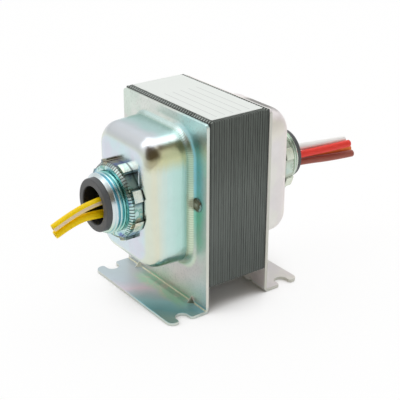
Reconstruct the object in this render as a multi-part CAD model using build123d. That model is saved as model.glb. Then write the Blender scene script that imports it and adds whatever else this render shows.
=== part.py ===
from build123d import *
import os
from math import cos, radians, tan

# Small foot-mounted control transformer with a conduit hub at each end.
# Millimetres. X runs along the feet, Y along the hubs with the front at -Y, Z is up,
# and the origin is on the mounting surface under the middle of the core.

# Core laminations, E and I
tongue_height = 20.0        # middle leg of the E
leg_height = 10.0           # each outer leg of the E
yoke_width = 10.0           # back of the E, and the I
window_height = 10.0
window_length = 30.0
lamination_thickness = 0.5
lamination_count = 50
groove_depth = 0.15         # open edge between two neighbouring sheets
groove_width = 0.12
core_lift = 10.0            # mounting surface to the underside of the core

# Bobbin and windings
bobbin_wall = 1.0
bobbin_core_clearance = 0.25
bobbin_window_clearance = 0.3
bobbin_corner = 9.0
coil_overhang = 9.4         # bobbin flange beyond each face of the core
winding_recess = 1.0        # winding below the rim of the bobbin flanges
tape_thickness = 0.3
winding_corner = 8.0

# End bells, drawn sheet steel
sheet = 1.2
flange_margin = 0.2         # flange beyond each side of the core
flange_drop = 0.4           # top of the flange below the top of the core
flange_corner = 1.5
dome_side_room = 3.1        # dome foot line beyond the ends of the bobbin
dome_end_room = 4.9         # dome foot line beyond the top and bottom of the bobbin
dome_corner = 9.2
dome_edge = 6.5             # outer rounding round the face of the dome
dome_root = 2.5             # outer hollow between dome and flange
dome_draft = 3.0            # degrees
wiring_room = 7.9           # coil to the inside of the dome face
bend_radius = 0.8           # inside of the foot bend
foot_length = 14.9          # from the face of the flange
foot_corner = 2.5
slot_width = 5.0
slot_depth = 4.7
slot_inset = 8.6            # flange face to the middle of the slot
slot_lip = 1.1              # rounding at the mouth of the slot
dart_reach = 2.6            # stiffening dart pressed into the bend
dart_width = 4.2
dart_inset = 8.4            # from the end of the foot

# Plug welds between flange and core
weld_hole = 3.6
weld_lap = 0.7              # crown beyond the hole
weld_height = 0.6
weld_clearance = 0.05

# Conduit hubs: nipple, locknut and bushing
thread_diameter = 21.3      # half-inch conduit thread
nipple_wall = 2.25
nipple_reach = 9.4          # beyond the face of the dome
nipple_chamfer = 1.1
nipple_head_rim = 1.35      # head beyond the thread
nipple_head_thickness = 2.5
nipple_head_bevel = 1.3     # clears the rounding inside the dome
hole_clearance = 0.2        # round the nipple in the dome
locknut_wall = 3.75         # from the thread to the tips of the lobes
locknut_thickness = 4.7
locknut_lobes = 8
locknut_lobe_thickness = 3.4
locknut_notch_width = 7.2
locknut_notch_depth = 1.2
locknut_notch_corner = 0.7
locknut_bevel = 0.9         # on the collar in front of the lobes
thread_clearance = 0.08
bushing_wall = 1.7
bushing_lip = 0.9           # bushing flange over the mouth of the nipple
bushing_flange_thickness = 2.0
bushing_tube_length = 6.5
bushing_clearance = 0.1
bushing_rounding = 0.5

# Rating label on top of the core
label_end_margin = 1.2
label_side_margin = 1.8
label_thickness = 0.15
label_corner = 0.6
label_shift_x = -0.7
label_shift_y = 0.4

# Leads: outside diameter of the insulation, and places by hand for each route.
# A place is (x, rise) from the hub axis in lead diameters. The first three are at the coil, at the
# inner end of the bushing and at its mouth. The others add a distance beyond the mouth in front.
lead_diameter = 2.8
lead_start = 5.9            # straight out of the coil
front_leads = {
    "lead_yellow_striped": [
        (1.61, 1.57), (1.32, 1.11), (1.21, 0.98),
        (8.9, 1.21, 0.46), (17.0, 1.21, -0.86),
    ],
    "lead_yellow": [
        (1.50, -1.43), (1.21, -1.07), (1.00, -0.73),
        (8.3, 1.00, -0.86), (16.1, 1.00, -1.89),
    ],
}
rear_leads = {
    "lead_white": [
        (-0.72, 1.29), (0.11, 0.92), (0.23, 0.38),
        (9.6, 0.21, -0.04), (20.8, 0.21, -0.38), (31.6, 0.18, -0.84),
    ],
    "lead_red": [
        (-0.79, -0.06), (0.15, -0.28), (1.11, -0.36),
        (9.6, 1.21, -0.45), (20.6, 1.21, -0.57), (30.9, 1.21, -0.82),
    ],
    "lead_orange": [
        (-2.18, -1.21), (-1.23, -1.18), (-0.39, -1.25),
        (9.6, -0.29, -1.57), (22.2, -0.25, -2.04), (34.6, -0.25, -2.57),
    ],
    "lead_brown": [
        (-0.79, -2.07), (0.07, -1.61), (0.75, -1.39),
        (9.6, 0.79, -1.61), (21.8, 0.79, -2.00), (33.8, 0.79, -2.27),
    ],
}

# Derived sizes and places
stack = lamination_count * lamination_thickness
core_width = 2 * yoke_width + window_length
core_height = tongue_height + 2 * (window_height + leg_height)
core_top = core_lift + core_height
axis_height = core_lift + core_height / 2
parting_x = window_length / 2
core_face = stack / 2
flange_face = core_face + sheet
flange_top = core_top - flange_drop
flange_width = core_width + 2 * flange_margin
foot_end = flange_face + foot_length
bobbin_length = window_length - 2 * bobbin_window_clearance
bobbin_height = tongue_height + 2 * window_height - 2 * bobbin_window_clearance
bobbin_depth = stack + 2 * coil_overhang
spool_height = tongue_height + 2 * (bobbin_core_clearance + bobbin_wall)
spool_depth = stack + 2 * (bobbin_core_clearance + bobbin_wall)
winding_height = bobbin_height - 2 * winding_recess
winding_depth = bobbin_depth - 2 * winding_recess
dome_base_width = bobbin_length + 2 * dome_side_room
dome_base_height = bobbin_height + 2 * dome_end_room
dome_inner_face = core_face + coil_overhang + wiring_room
dome_face = dome_inner_face + sheet
yoke_middle = parting_x + yoke_width / 2
thread_radius = thread_diameter / 2
nipple_end = dome_face + nipple_reach
nipple_bore = thread_radius - nipple_wall
bushing_tube = nipple_bore - bushing_clearance
bushing_end = nipple_end - bushing_tube_length
bushing_mouth = nipple_end + bushing_flange_thickness
winding_length = (bobbin_length - 3 * bobbin_wall) / 2
winding_x = (winding_length + bobbin_wall) / 2


def at_depth(distance):
    """A plane facing the front, at a distance in front of the middle of the core, on the hub axis."""
    return Plane((0, -distance, axis_height), x_dir=(1, 0, 0), z_dir=(0, -1, 0))


def ring_of_revolution(points):
    """A turned piece about the hub axis from (radius, distance in front of the middle) points."""
    profile = Polyline(*[(radius, -distance, 0) for radius, distance in points], close=True)
    turned = revolve(make_face(profile), Axis.Y)
    return Pos(0, 0, axis_height) * turned


def turned_round(part):
    """The same piece at the rear of the transformer."""
    return part.rotate(Axis.Z, 180)


def lamination_grooves():
    """Thin frames round the core, one at each joint between two sheets."""
    outer = Rectangle(core_width + 2, core_height + 2)
    inner = Rectangle(core_width - 2 * groove_depth, core_height - 2 * groove_depth)
    frame = outer - inner
    frames = []
    for number in range(1, lamination_count):
        joint = core_face - number * lamination_thickness
        frames.append(extrude(at_depth(joint) * frame, amount=groove_width / 2, both=True))
    return frames


def core_stacks():
    """The stack of E sheets and the stack of I sheets, butted together."""
    outline = Rectangle(core_width, core_height)
    windows = Pos(0, (tongue_height + window_height) / 2) * Rectangle(window_length, window_height)
    windows += Pos(0, -(tongue_height + window_height) / 2) * Rectangle(window_length, window_height)
    i_outline = Pos(parting_x + yoke_width / 2, 0) * Rectangle(yoke_width, core_height)
    grooves = lamination_grooves()
    e_stack = extrude(at_depth(core_face) * (outline - i_outline - windows), amount=-stack)
    i_stack = extrude(at_depth(core_face) * i_outline, amount=-stack)
    return e_stack - grooves, i_stack - grooves


def sleeve(height, depth, length, corner):
    """A block round the middle leg, with its rounded section in YZ and its length along X."""
    section = Plane.YZ * RectangleRounded(depth, height, corner)
    return Pos(0, 0, axis_height) * extrude(section, amount=length / 2, both=True)


def square_sleeve(height, depth, length):
    """A block round the middle leg with sharp corners."""
    return Pos(0, 0, axis_height) * Box(length, depth, height)


def bobbin():
    """A spool with two end flanges and a divider between the windings."""
    tongue_gap = 2 * bobbin_core_clearance
    spool = square_sleeve(spool_height, spool_depth, bobbin_length)
    flange_plate = sleeve(bobbin_height, bobbin_depth, bobbin_wall, bobbin_corner)
    end_x = (bobbin_length - bobbin_wall) / 2
    for x in (-end_x, 0, end_x):
        spool += Pos(x, 0, 0) * flange_plate
    return spool - square_sleeve(tongue_height + tongue_gap, stack + tongue_gap, bobbin_length)


def winding():
    """Wound wire between two flanges of the bobbin, as one ring."""
    outside = sleeve(winding_height - 2 * tape_thickness, winding_depth - 2 * tape_thickness,
                     winding_length, winding_corner)
    return outside - square_sleeve(spool_height, spool_depth, winding_length)


def winding_tape():
    """Tape wrapped once round a winding."""
    outside = sleeve(winding_height, winding_depth, winding_length, winding_corner + tape_thickness)
    return outside - sleeve(winding_height - 2 * tape_thickness, winding_depth - 2 * tape_thickness,
                            winding_length, winding_corner)


def dome_block(inset, root):
    """The tapered block of the dome, or of its hollow when it is inset by the sheet."""
    slope = tan(radians(dome_draft))
    side = inset / cos(radians(dome_draft))
    # the foot line of the block is in the plane of the flange face, and moves out towards the root
    spread = side - root * slope
    width = dome_base_width - 2 * spread
    height = dome_base_height - 2 * spread
    section = RectangleRounded(width, height, dome_corner - spread)
    start = flange_face - root
    block = extrude(at_depth(start) * section, amount=dome_face - inset - start, taper=dome_draft)
    rim = block.faces().sort_by(Axis.Y)[0].edges()
    return fillet(rim, dome_edge - inset)


def dart(reach, corner_y, corner_z, width):
    """A small pyramid across the bend of the foot, with its ridge from flange to foot."""
    points = []
    points.append((0, corner_y, corner_z + reach))
    points.append((0, corner_y - reach, corner_z))
    points.append((-width / 2, corner_y, corner_z))
    points.append((width / 2, corner_y, corner_z))
    return ConvexPolyhedron(points)


def foot_slot():
    """The outline that an open slot takes from the end of a foot, its round end inwards."""
    radius = slot_width / 2
    edge_x = flange_width / 2
    middle_y = -(flange_face + slot_inset)
    round_x = edge_x - slot_depth + radius
    outline = Pos(round_x, middle_y) * Circle(radius)
    reach = edge_x - round_x + slot_width
    outline += Pos(round_x + reach / 2, middle_y) * Rectangle(reach, slot_width)
    return outline


def bent_blank():
    """Flange and foot bent from one sheet, with open slots, rounded corners and darts across the bend."""
    with BuildPart() as blank:
        with BuildSketch(Plane.YZ):
            with BuildLine():
                Polyline(
                    (-core_face, flange_top),
                    (-core_face, 0),
                    (-foot_end, 0),
                    (-foot_end, sheet),
                    (-flange_face, sheet),
                    (-flange_face, flange_top),
                    close=True,
                )
            make_face()
            corners = vertices()
            fillet(corners.sort_by_distance((-core_face, 0))[0], bend_radius + sheet)
            fillet(corners.sort_by_distance((-flange_face, sheet))[0], bend_radius)
        extrude(amount=flange_width / 2, both=True)
        fillet(blank.edges().filter_by(Axis.Y).group_by(Axis.Z)[-1], flange_corner)
        fillet(blank.edges().filter_by(Axis.Z).group_by(Axis.Y)[0], foot_corner)
    slot = extrude(foot_slot(), amount=sheet)
    plate = blank.part - slot - mirror(slot, Plane.YZ)
    slot_y = -(flange_face + slot_inset)
    lips = [
        edge for edge in plate.edges().filter_by(Axis.Z)
        if abs(abs(edge.center().X) - flange_width / 2) < 1e-6 and abs(edge.center().Y - slot_y) < slot_width
    ]
    plate = fillet(lips, slot_lip)
    dart_x = flange_width / 2 - dart_inset
    hollow_reach = dart_reach + sheet * (2 - 2 ** 0.5)
    for x in (-dart_x, dart_x):
        plate = plate + Pos(x, 0, 0) * dart(dart_reach, -flange_face, sheet, dart_width)
        plate = plate - Pos(x, 0, 0) * dart(hollow_reach, -core_face, 0, dart_width)
    return plate


def round_dome(shape, depth, reach):
    """The edges of a shape that run round the dome at one depth in front of the core."""
    found = []
    for edge in shape.edges():
        middle = edge.center()
        beside = abs(middle.X) < dome_base_width / 2 + reach
        within = abs(middle.Z - axis_height) < dome_base_height / 2 + reach
        if beside and within and abs(middle.Y + depth) < 1e-3:
            found.append(edge)
    return found


def end_bell():
    """The front end bell: the bent blank with a dome drawn into its flange and pierced for hub and welds."""
    drawn = bent_blank() + dome_block(0, 0)
    drawn = fillet(round_dome(drawn, flange_face, 1), dome_root)
    drawn = drawn - dome_block(sheet, sheet)
    drawn = fillet(round_dome(drawn, core_face, 0), dome_root + sheet)
    drawn = drawn - extrude(at_depth(0) * Circle(thread_radius + hole_clearance), amount=dome_face + 1)
    for x in (-yoke_middle, yoke_middle):
        drawn = drawn - extrude(at_depth(core_face) * Pos(x, 0) * Circle(weld_hole / 2), amount=sheet)
    return drawn


def weld_nuggets(bell):
    """Two plug welds through the flange, each with a low crown that lies against the bell."""
    radius = weld_hole / 2 - weld_clearance
    nuggets = []
    for x in (-yoke_middle, yoke_middle):
        plug = extrude(at_depth(core_face) * Pos(x, 0) * Circle(radius), amount=sheet)
        crown_disc = Circle(weld_hole / 2 + weld_lap)
        crown = extrude(at_depth(flange_face) * Pos(x, 0) * crown_disc, amount=weld_height)
        crown = fillet(crown.faces().sort_by(Axis.Y)[0].edges(), weld_height * 0.9)
        nuggets.append(plug + crown - bell)
    return nuggets


def hub_nipple():
    """A chase nipple: round head inside the dome, threaded barrel outside."""
    head = thread_radius + nipple_head_rim
    return ring_of_revolution([
        (nipple_bore, dome_inner_face - nipple_head_thickness),
        (head, dome_inner_face - nipple_head_thickness),
        (head, dome_inner_face - nipple_head_bevel),
        (head - nipple_head_bevel, dome_inner_face),
        (thread_radius, dome_inner_face),
        (thread_radius, nipple_end - nipple_chamfer),
        (thread_radius - nipple_chamfer, nipple_end),
        (nipple_bore, nipple_end),
    ])


def locknut():
    """A castellated locknut seated on the face of the dome, with a bevelled collar in front of its lobes."""
    bore = thread_radius + thread_clearance
    rim = thread_radius + locknut_wall
    collar = rim - locknut_notch_depth
    lobe_front = dome_face + locknut_lobe_thickness
    front = dome_face + locknut_thickness
    nut = ring_of_revolution([
        (bore, dome_face),
        (rim, dome_face),
        (rim, lobe_front),
        (collar, lobe_front),
        (collar, front - locknut_bevel),
        (collar - locknut_bevel, front),
        (bore, front),
    ])
    notch = Pos(rim, 0) * RectangleRounded(2 * locknut_notch_depth, locknut_notch_width, locknut_notch_corner)
    notches = Sketch() + PolarLocations(0, locknut_lobes) * notch
    return nut - extrude(at_depth(dome_face) * notches, amount=locknut_lobe_thickness)


def bushing():
    """A plastic bushing pressed into the mouth of the nipple."""
    bore = bushing_tube - bushing_wall
    rim = nipple_bore + bushing_lip
    turned = ring_of_revolution([
        (bore, bushing_end),
        (bushing_tube, bushing_end),
        (bushing_tube, nipple_end),
        (rim, nipple_end),
        (rim, bushing_mouth),
        (bore, bushing_mouth),
    ])
    rims = turned.edges().filter_by(GeomType.CIRCLE).group_by(Axis.Y)[0]
    return fillet(rims, bushing_rounding)


def rating_label():
    """The thin label that lies on top of the core."""
    length = core_width - 2 * label_end_margin
    width = stack - 2 * label_side_margin
    plate = extrude(RectangleRounded(length, width, label_corner), amount=label_thickness)
    return Pos(label_shift_x, label_shift_y, core_top) * plate


def lead_route(places, side):
    """The corner points of a lead, from the face of the coil to its cut end. The front is side -1."""
    coil, entry, mouth, *outside = places
    coil_face = winding_depth / 2
    stations = [(coil_face, *coil), (coil_face + lead_start, *coil)]
    stations += [(bushing_end, *entry), (bushing_mouth, *mouth)]
    stations += [(bushing_mouth + reach, x, rise) for reach, x, rise in outside]
    return [(x * lead_diameter, side * y, axis_height + rise * lead_diameter) for y, x, rise in stations]


def bend_radii(points):
    """As large an arc at each corner of a route as its two runs allow."""
    radii = []
    for before, corner, after in zip(points, points[1:], points[2:]):
        run_in = Vector(corner) - Vector(before)
        run_out = Vector(after) - Vector(corner)
        turn = radians(run_in.get_angle(run_out))
        radii.append(0.45 * min(run_in.length, run_out.length) / tan(turn / 2))
    return radii


def lead(name, points):
    """An insulated lead along its route."""
    radii = bend_radii(points)
    path = FilletPolyline(*points, radius=radii)
    section = Plane(path @ 0, z_dir=path % 0) * Circle(lead_diameter / 2)
    tube = sweep(section, path)
    share = tube.volume / (section.area * path.length)
    print(name, "radii", [round(r) for r in radii], end=" ")
    print("length", round(path.length, 1), "volume share", round(share, 4))
    return tube


def main():
    os.makedirs("parts", exist_ok=True)
    e_stack, i_stack = core_stacks()
    front_bell = end_bell()
    nodes = {
        "core_e_laminations": e_stack,
        "core_i_laminations": i_stack,
        "bobbin": bobbin(),
        "primary_winding": Pos(-winding_x, 0, 0) * winding(),
        "secondary_winding": Pos(winding_x, 0, 0) * winding(),
        "primary_tape": Pos(-winding_x, 0, 0) * winding_tape(),
        "secondary_tape": Pos(winding_x, 0, 0) * winding_tape(),
        "front_end_bell": front_bell,
        "rear_end_bell": turned_round(front_bell),
        "rating_label": rating_label(),
    }
    pieces = {"hub_nipple": hub_nipple(), "locknut": locknut(), "bushing": bushing()}
    for name, piece in pieces.items():
        nodes["front_" + name] = piece
        nodes["rear_" + name] = turned_round(piece)
    nuggets = weld_nuggets(front_bell)
    nodes["front_weld_nuggets"] = Compound(children=nuggets)
    nodes["rear_weld_nuggets"] = Compound(children=[turned_round(nugget) for nugget in nuggets])
    for name, places in front_leads.items():
        nodes[name] = lead(name, lead_route(places, -1))
    for name, places in rear_leads.items():
        nodes[name] = lead(name, lead_route(places, 1))
    for name, node in nodes.items():
        export_step(node, os.path.join("parts", name + ".step"))


main()
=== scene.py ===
"""Looks of a small foot-mounted transformer with a conduit hub at each end, built round its packed part."""

import math

import bmesh
import bpy
from bpy.props import FloatProperty, FloatVectorProperty, IntProperty, PointerProperty
from mathutils import Matrix, Vector


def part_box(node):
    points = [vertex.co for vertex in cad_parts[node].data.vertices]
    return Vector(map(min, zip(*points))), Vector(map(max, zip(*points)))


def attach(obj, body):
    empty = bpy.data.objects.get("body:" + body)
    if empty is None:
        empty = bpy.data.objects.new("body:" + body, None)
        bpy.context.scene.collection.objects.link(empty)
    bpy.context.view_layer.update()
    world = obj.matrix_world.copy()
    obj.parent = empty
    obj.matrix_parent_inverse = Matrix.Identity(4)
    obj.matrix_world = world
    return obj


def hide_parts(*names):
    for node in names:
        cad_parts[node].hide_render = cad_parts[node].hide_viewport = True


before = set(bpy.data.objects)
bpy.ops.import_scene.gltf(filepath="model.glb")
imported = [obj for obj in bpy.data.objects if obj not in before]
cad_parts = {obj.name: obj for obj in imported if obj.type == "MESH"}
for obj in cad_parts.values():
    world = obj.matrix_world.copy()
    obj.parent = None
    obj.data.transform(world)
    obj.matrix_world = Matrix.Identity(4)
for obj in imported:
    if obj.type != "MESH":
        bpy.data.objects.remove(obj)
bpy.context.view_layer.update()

bl_info = {
    "name": "Hub Transformer",
    "version": (1, 0, 0),
    "blender": (4, 5, 0),
    "location": "3D View > Sidebar > Transformer",
    "description": "Builds the finished pieces of a foot-mounted transformer round its packed part",
    "category": "Object",
}

MM = 0.001
BODY = "root"
HALF_TURN = Matrix.Rotation(math.pi, 4, "Z")

# Height of the hub axis in metres, and the place of the plug welds to each side of it in millimetres
HUB_AXIS = sum(corner.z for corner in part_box("front_hub_nipple")) / 2
WELD_SIDE = 20.0

# Routes of the leads from the face of the coil to the cut end, in metres
LEAD_ROUTES = {
    "lead_yellow_striped": [
        (0.004508, -0.0209, 0.044396), (0.004508, -0.0268, 0.044396), (0.003696, -0.0339, 0.043108),
        (0.003388, -0.0424, 0.042744), (0.003388, -0.0513, 0.0411), (0.003388, -0.0594, 0.037592),
    ],
    "lead_yellow": [
        (0.0042, -0.0209, 0.035996), (0.0042, -0.0268, 0.035996), (0.003388, -0.0339, 0.037004),
        (0.0028, -0.0424, 0.037956), (0.0028, -0.0507, 0.0381), (0.0028, -0.0585, 0.034708),
    ],
    "lead_white": [
        (-0.002016, 0.0209, 0.043612), (-0.002016, 0.0268, 0.043612), (0.000308, 0.0339, 0.042576),
        (0.000644, 0.0424, 0.0416), (0.000588, 0.052, 0.0405), (0.000588, 0.0625, 0.0396),
        (0.000504, 0.0724, 0.0386),
    ],
    "lead_red": [
        (-0.002212, 0.0209, 0.039832), (-0.002212, 0.0268, 0.039832), (0.00042, 0.0339, 0.039216),
        (0.003108, 0.0424, 0.0392), (0.003388, 0.052, 0.0388), (0.003388, 0.063, 0.0382),
        (0.003388, 0.0725, 0.0379),
    ],
    "lead_orange": [
        (-0.006104, 0.0209, 0.036612), (-0.006104, 0.0268, 0.036612), (-0.003444, 0.0339, 0.036696),
        (-0.001092, 0.0424, 0.0369), (-0.000812, 0.052, 0.0361), (-0.0006, 0.0646, 0.0346),
        (-0.0007, 0.077, 0.0335),
    ],
    "lead_brown": [
        (-0.002212, 0.0209, 0.034204), (-0.002212, 0.0268, 0.034204), (0.000196, 0.0339, 0.035492),
        (0.0021, 0.0424, 0.0358), (0.002212, 0.052, 0.0351), (0.002212, 0.0642, 0.0334),
        (0.002212, 0.0757, 0.0326),
    ],
}


def tone(colour):
    """A linear colour, worked out where it is given as the six hexadecimal digits of a display colour."""
    if not isinstance(colour, str):
        return tuple(colour)
    channels = [int(colour[place:place + 2], 16) / 255 for place in (0, 2, 4)]
    return tuple(c / 12.92 if c <= 0.04045 else ((c + 0.055) / 1.055) ** 2.4 for c in channels)


def colour_property(name, description, code):
    """A colour that a user may change."""
    return FloatVectorProperty(
        name=name, description=description, subtype="COLOR", size=3, min=0, max=1, default=tone(code)
    )


def length_property(name, description, millimetres):
    """A length that a user may change."""
    return FloatProperty(
        name=name, description=description, unit="LENGTH", subtype="DISTANCE", min=0,
        precision=5, default=millimetres * MM,
    )


def reach_of(first, second):
    """How far two lengths at right angles reach together."""
    return (first ** 2.0 + second ** 2.0) ** 0.5


class LeadFinish(bpy.types.PropertyGroup):
    """Sizes and colours of the leads."""

    diameter: length_property("Diameter", "Outside of the insulation", 2.8)
    conductor: length_property("Conductor", "Across the stranded copper", 1.3)
    yellow: colour_property("Yellow", "Plain yellow insulation", "ffda00")
    white: colour_property("White", "White insulation", "f5f4f2")
    red: colour_property("Red", "Red insulation", "ee4036")
    orange: colour_property("Orange", "Orange insulation", "e77c38")
    brown: colour_property("Brown", "Brown insulation", "a0584a")
    stripe: colour_property("Stripe", "Stripe along one of the front leads", "efd9b4")
    copper: colour_property("Copper", "Cut ends of the strands", "c98a5c")


class BellFinish(bpy.types.PropertyGroup):
    """Zinc plating on the drawn end bells."""

    edge_round: length_property("Edge rounding", "Rounding on the sheared edges of the sheet", 0.16)
    straw: colour_property("Straw", "Film on the shoulder of the dome", "dddfcb")
    lavender: colour_property("Lavender", "Film on the face of the dome", "d6dae5")
    teal: colour_property("Teal", "Film on the walls of the dome", "b8ddd5")
    green: colour_property("Green", "Film in the hollow at the root of the dome", "b1d0ba")
    burn: colour_property("Burn", "Heat tint round the plug welds", "76604c")
    roughness: FloatProperty(
        name="Roughness", description="Mean roughness of the plating", subtype="FACTOR", min=0, max=1,
        default=0.23,
    )


class CoreSizes(bpy.types.PropertyGroup):
    """The stacked sheets of the core."""

    sheets: IntProperty(name="Sheets", description="Sheets in each stack", min=1, max=200, default=50)
    gap: length_property("Gap", "Open joint between two sheets", 0.05)
    shift: length_property("Shift", "Most that a sheet stands back from its neighbours", 0.05)
    seed: IntProperty(name="Seed", description="Seed of the uneven stacking", default=7)
    dark: colour_property("Dark", "Darkest sheets", "393e3b")
    light: colour_property("Light", "Palest sheets", "838b86")


class HubSizes(bpy.types.PropertyGroup):
    """Nipples, locknuts and bushings at the two ends."""

    pitch: length_property("Pitch", "Pitch of the conduit thread", 1.5)
    thread_depth: length_property("Thread depth", "Crest to root of the conduit thread", 0.9)
    teeth: IntProperty(name="Teeth", description="Serrations round a locknut's collar", min=3, default=72)
    tooth_height: length_property("Tooth height", "How far a serration stands off the bevel", 0.4)
    edge_round: length_property("Edge rounding", "Rounding on the edges of a locknut", 0.14)
    bushing: colour_property("Bushing", "Moulded plastic of the bushings", "4b4d4f")


class LabelFinish(bpy.types.PropertyGroup):
    """The bare label on the core."""

    paper: colour_property("Paper", "Face of the label", "e6ebe8")
    rule: colour_property("Rule", "Blank ruled rows", "8e9193")


class StageLight(bpy.types.PropertyGroup):
    """Floor, lamp and surroundings."""

    floor: colour_property("Floor", "Pale floor", "ffffff")
    top: FloatProperty(name="Top lamp", description="Power of the lamp overhead", unit="POWER", default=1.8)
    surroundings: FloatProperty(name="Surroundings", description="Strength of the room", min=0, default=1.0)


class Wire:
    """A node's output that takes part in Python expressions, whose operators add Math nodes."""

    def __init__(self, tree, socket):
        self.tree = tree
        self.socket = socket

    def output(self, name):
        """Another output of the same node."""
        return Wire(self.tree, self.socket.node.outputs[name])

    def maths(self, operation, *values):
        return self.tree.node("ShaderNodeMath", {"operation": operation}, dict(enumerate(values)))

    def __add__(self, other):
        return self.maths("ADD", self, other)

    def __radd__(self, other):
        return self.maths("ADD", other, self)

    def __sub__(self, other):
        return self.maths("SUBTRACT", self, other)

    def __rsub__(self, other):
        return self.maths("SUBTRACT", other, self)

    def __mul__(self, other):
        return self.maths("MULTIPLY", self, other)

    def __rmul__(self, other):
        return self.maths("MULTIPLY", other, self)

    def __truediv__(self, other):
        return self.maths("DIVIDE", self, other)

    def __rtruediv__(self, other):
        return self.maths("DIVIDE", other, self)

    def __pow__(self, other):
        return self.maths("POWER", self, other)

    def __mod__(self, other):
        return self.maths("FLOORED_MODULO", self, other)

    def __floordiv__(self, other):
        return self.maths("FLOOR", self / other)

    def __abs__(self):
        return self.maths("ABSOLUTE", self)

    def higher(self, other):
        return self.maths("MAXIMUM", self, other)


class Tree:
    """A node tree, with a short way to write the nodes that come up most."""

    def __init__(self, tree):
        self.tree = tree

    def node(self, kind, settings=None, sockets=None, out=0):
        """A new node: its settings first, then the values and links of its sockets."""
        node = self.tree.nodes.new(kind)
        for name, value in (settings or {}).items():
            if name == "stops":
                self.set_stops(node.color_ramp, value)
            else:
                setattr(node, name, value)
        for name, value in (sockets or {}).items():
            self.feed(value, node.inputs[name])
        return Wire(self, node.outputs[out]) if node.outputs else node

    def feed(self, value, socket):
        """A link, a plain value or a colour into a socket."""
        if isinstance(value, Wire):
            self.tree.links.new(value.socket, socket)
        elif socket.type == "RGBA":
            socket.default_value = (*tone(value), 1)
        else:
            socket.default_value = value

    @staticmethod
    def set_stops(ramp, stops):
        """The stops of a ramp, as (place, colour) in rising order."""
        while len(ramp.elements) > 1:
            ramp.elements.remove(ramp.elements[-1])
        for number, (place, colour) in enumerate(stops):
            stop = ramp.elements[0] if number == 0 else ramp.elements.new(place)
            stop.position = place
            stop.color = (*tone(colour), 1)

    def mix(self, factor, first, second):
        """A colour between two."""
        return self.node("ShaderNodeMix", {"data_type": "RGBA"}, {0: factor, 6: first, 7: second}, out=2)

    def layered(self, colour, *films):
        """A colour with films laid over it in order, each as (share, colour)."""
        for share, film in films:
            colour = self.mix(share, colour, film)
        return colour

    def between(self, value, low, high, to_low=0.0, to_high=1.0):
        """A value eased from one range into another, and held beyond its ends."""
        settings = {"interpolation_type": "SMOOTHSTEP"}
        return self.node("ShaderNodeMapRange", settings, {0: value, 1: low, 2: high, 3: to_low, 4: to_high})

    def zone(self, *ranges):
        """1 where every value is past its range, eased from 0, with each range as (value, start, end)."""
        mask = self.between(*ranges[0])
        for each in ranges[1:]:
            mask = mask * self.between(*each)
        return mask

    def split(self, vector):
        """The three parts of a vector."""
        parts = self.node("ShaderNodeSeparateXYZ", None, {0: vector})
        return parts, parts.output("Y"), parts.output("Z")


class Finish(Tree):
    """A material, written as expressions on the place in the object."""

    def __init__(self, name):
        self.material = bpy.data.materials.new(name)
        self.material.use_nodes = True
        super().__init__(self.material.node_tree)
        self.tree.nodes.clear()
        self.place = self.node("ShaderNodeTexCoord", out="Object")

    def axes(self):
        """The place in the object as x, y and z in millimetres."""
        return [part / MM for part in self.split(self.place)]

    def hub_axes(self):
        """x, y, the height over the hub axis and the distance from it, in millimetres."""
        x, y, z = self.axes()
        up = z - HUB_AXIS / MM
        return x, y, up, reach_of(x, up)

    def stretched(self, scale):
        """The place in the object, scaled by its own amount along each axis."""
        return self.node("ShaderNodeMapping", None, {"Vector": self.place, "Scale": scale})

    def noise(self, scale, detail=2.0, roughness=0.5, where=None):
        """Soft noise from 0 to 1, with scale in features per metre."""
        sockets = {"Vector": where or self.place, "Scale": scale, "Detail": detail, "Roughness": roughness}
        return self.node("ShaderNodeTexNoise", None, sockets)

    def sway(self, scale, **settings):
        """Soft noise about zero."""
        return self.noise(scale, **settings) - 0.5

    def own_value(self, number):
        """A value by chance from 0 to 1 for each whole number."""
        return self.node("ShaderNodeTexWhiteNoise", {"noise_dimensions": "1D"}, {"W": number})

    def ramp(self, factor, stops, interpolation="EASE"):
        """A colour from stops along a factor."""
        ramp = self.node("ShaderNodeValToRGB", {"stops": stops}, {0: factor})
        ramp.socket.node.color_ramp.interpolation = interpolation
        return ramp

    def bump(self, height, strength, distance):
        """A relief that bends the normal, with its depth in metres."""
        sockets = {"Strength": strength, "Distance": distance, "Height": height}
        return self.node("ShaderNodeBump", None, sockets)

    def surface(self, sockets):
        """Ends the tree in one surface, and gives the material."""
        shader = self.node("ShaderNodeBsdfPrincipled", None, sockets)
        self.node("ShaderNodeOutputMaterial", None, {"Surface": shader})
        return self.material


class Growth(Tree):
    """A Geometry Nodes tree with named inputs."""

    def __init__(self, name, inputs):
        super().__init__(bpy.data.node_groups.new(name, "GeometryNodeTree"))
        face = self.tree.interface
        face.new_socket("Geometry", in_out="INPUT", socket_type="NodeSocketGeometry")
        self.identifiers = {}
        for label, kind in inputs.items():
            made = face.new_socket(label, in_out="INPUT", socket_type="NodeSocket" + kind)
            self.identifiers[label] = made.identifier
        face.new_socket("Geometry", in_out="OUTPUT", socket_type="NodeSocketGeometry")
        self.start = self.node("NodeGroupInput")

    def given(self, label):
        """One of the named inputs."""
        return self.start.output(label)

    def ends_in(self, geometry):
        """Makes the result plain and gives it its material."""
        plain = self.node("GeometryNodeRealizeInstances", None, {"Geometry": geometry})
        sockets = {"Geometry": plain, "Material": self.given("Material")}
        painted = self.node("GeometryNodeSetMaterial", None, sockets)
        self.node("NodeGroupOutput", None, {0: painted})
        return self

    def grow(self, mesh, values):
        """The mesh that the tree makes of another."""
        holder = bpy.data.objects.new("holder", mesh)
        bpy.context.collection.objects.link(holder)
        modifier = holder.modifiers.new("grow", "NODES")
        modifier.node_group = self.tree
        for label, value in values.items():
            modifier[self.identifiers[label]] = value
        return plain_mesh(holder)


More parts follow.
